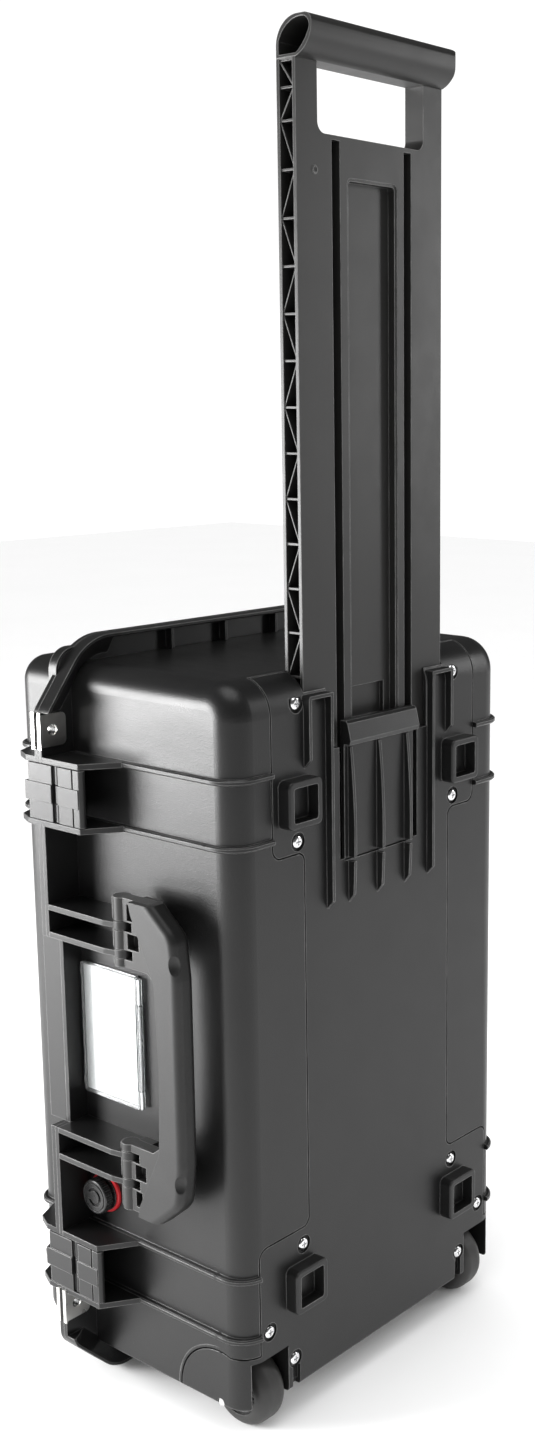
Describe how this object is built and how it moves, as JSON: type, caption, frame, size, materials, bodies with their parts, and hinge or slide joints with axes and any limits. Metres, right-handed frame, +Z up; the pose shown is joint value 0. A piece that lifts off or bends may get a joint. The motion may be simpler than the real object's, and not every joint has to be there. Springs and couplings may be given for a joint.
{
  "type": "wheeled hard equipment case",
  "caption": "Wheeled hard protective case with pull-out trolley handle, folding carry handle, draw latches, hinged lid with seal, padlock plates and pressure valve.",
  "frame": {"origin": "centre of the bounding box on the floor that the case stands on", "axes": "+Z up along the case's length, +X out of the trolley side, -Y the latch and carry-handle side, +Y the lid-hinge side"},
  "size_m": [0.229, 0.351, 0.956],
  "materials": {
    "shell_plastic": "fine moulded texture, satin black",
    "cover_plastic": "fine moulded texture, satin black",
    "handle_plastic": "moulded, satin black",
    "latch_plastic": "smooth moulded, satin black",
    "handle_rubber": "soft over-moulded sleeve",
    "screw_steel": "bright plated",
    "plate_steel": "stainless sheet",
    "pin_steel": "ground stainless",
    "valve_plastic": "smooth black",
    "valve_red": "red seal",
    "membrane": "vent membrane",
    "clear_plastic": "clear moulded",
    "card": "white card",
    "seal_rubber": "polymer o-ring",
    "wheel_tyre": "polyurethane tread",
    "wheel_hub": "moulded hub"
  },
  "bodies": {
    "base": {"base_shell": "shell_plastic", "base_front": "shell_plastic", "base_flange": "shell_plastic", "base_guards": "shell_plastic", "bottom_cover": "cover_plastic", "cover_screws": "screw_steel", "padlock_plates_base": "plate_steel", "valve_body": "valve_plastic", "valve_seal_ring": "valve_red", "valve_nut": "valve_plastic", "valve_membrane": "membrane", "nameplate_holder": "clear_plastic", "nameplate_card": "card", "nameplate_hinge_pin": "pin_steel", "carry_handle_pins": "pin_steel", "lid_hinge_pins": "pin_steel", "wheel_axle_left": "pin_steel", "wheel_axle_right": "pin_steel"},
    "lid": {"lid_shell": "shell_plastic", "lid_flange": "shell_plastic", "lid_seal": "seal_rubber", "padlock_plates_lid": "plate_steel", "latch_pivot_pins": "pin_steel"},
    "upper_latch": {"upper_latch_plate": "latch_plastic", "upper_latch_link_pin": "pin_steel"},
    "upper_lever": {"upper_latch_lever": "latch_plastic"},
    "lower_latch": {"lower_latch_plate": "latch_plastic", "lower_latch_link_pin": "pin_steel"},
    "lower_lever": {"lower_latch_lever": "latch_plastic"},
    "carry_handle": {"carry_handle_frame": "handle_plastic", "carry_handle_grip": "handle_rubber"},
    "trolley": {"trolley_handle": "handle_plastic", "trolley_grip": "handle_plastic"},
    "release_tongue": {"release_tongue": "cover_plastic"},
    "wheel_left": {"wheel_tyre_left": "wheel_tyre", "wheel_hub_left": "wheel_hub", "wheel_bearings_left": "pin_steel"},
    "wheel_right": {"wheel_tyre_right": "wheel_tyre", "wheel_hub_right": "wheel_hub", "wheel_bearings_right": "pin_steel"},
    "valve_knob": {"valve_knob": "valve_plastic"},
    "nameplate_cover": {"nameplate_cover": "clear_plastic"}
  },
  "joints": [
    {"name": "lid_hinge", "type": "hinge", "parent": "base", "child": "lid", "pos_m": [-0.056, 0.169, 0.28], "axis": [0, 0, -1], "range_deg": [0, 100]},
    {"name": "trolley_slide", "type": "slide", "parent": "base", "child": "trolley", "axis": [0, 0, 1], "range_m": [-0.397, 0]},
    {"name": "release_tongue_pull", "type": "hinge", "parent": "base", "child": "release_tongue", "pos_m": [0.1025, 0, 0.4049], "axis": [0, 1, 0], "range_deg": [0, 5], "stiffness_Nm_per_rad": 2},
    {"name": "carry_handle_fold", "type": "hinge", "parent": "base", "child": "carry_handle", "pos_m": [0.016, -0.1665, 0.2785], "axis": [0, 0, -1], "range_deg": [0, 95]},
    {"name": "valve_knob_turn", "type": "hinge", "parent": "base", "child": "valve_knob", "pos_m": [-0.035, -0.156, 0.152], "axis": [0, -1, 0], "range_deg": [0, 90]},
    {"name": "nameplate_cover_open", "type": "hinge", "parent": "base", "child": "nameplate_cover", "pos_m": [0.0105, -0.1494, 0.278], "axis": [0, 0, 1], "range_deg": [0, 70]},
    {"name": "wheel_left_spin", "type": "hinge", "parent": "base", "child": "wheel_left", "pos_m": [0.078, -0.1175, 0.027], "axis": [0, 1, 0], "continuous": true},
    {"name": "wheel_right_spin", "type": "hinge", "parent": "base", "child": "wheel_right", "pos_m": [0.078, 0.1175, 0.027], "axis": [0, 1, 0], "continuous": true},
    {"name": "upper_latch_swing", "type": "hinge", "parent": "lid", "child": "upper_latch", "pos_m": [-0.064, -0.169, 0.4545], "axis": [0, 0, -1], "range_deg": [0, 110]},
    {"name": "upper_lever_pull", "type": "hinge", "parent": "upper_latch", "child": "upper_lever", "pos_m": [-0.0395, -0.1702, 0.4545], "axis": [0, 0, -1], "range_deg": [0, 55]},
    {"name": "lower_latch_swing", "type": "hinge", "parent": "lid", "child": "lower_latch", "pos_m": [-0.064, -0.169, 0.102], "axis": [0, 0, -1], "range_deg": [0, 110]},
    {"name": "lower_lever_pull", "type": "hinge", "parent": "lower_latch", "child": "lower_lever", "pos_m": [-0.0395, -0.1702, 0.102], "axis": [0, 0, -1], "range_deg": [0, 55]}
  ]
}
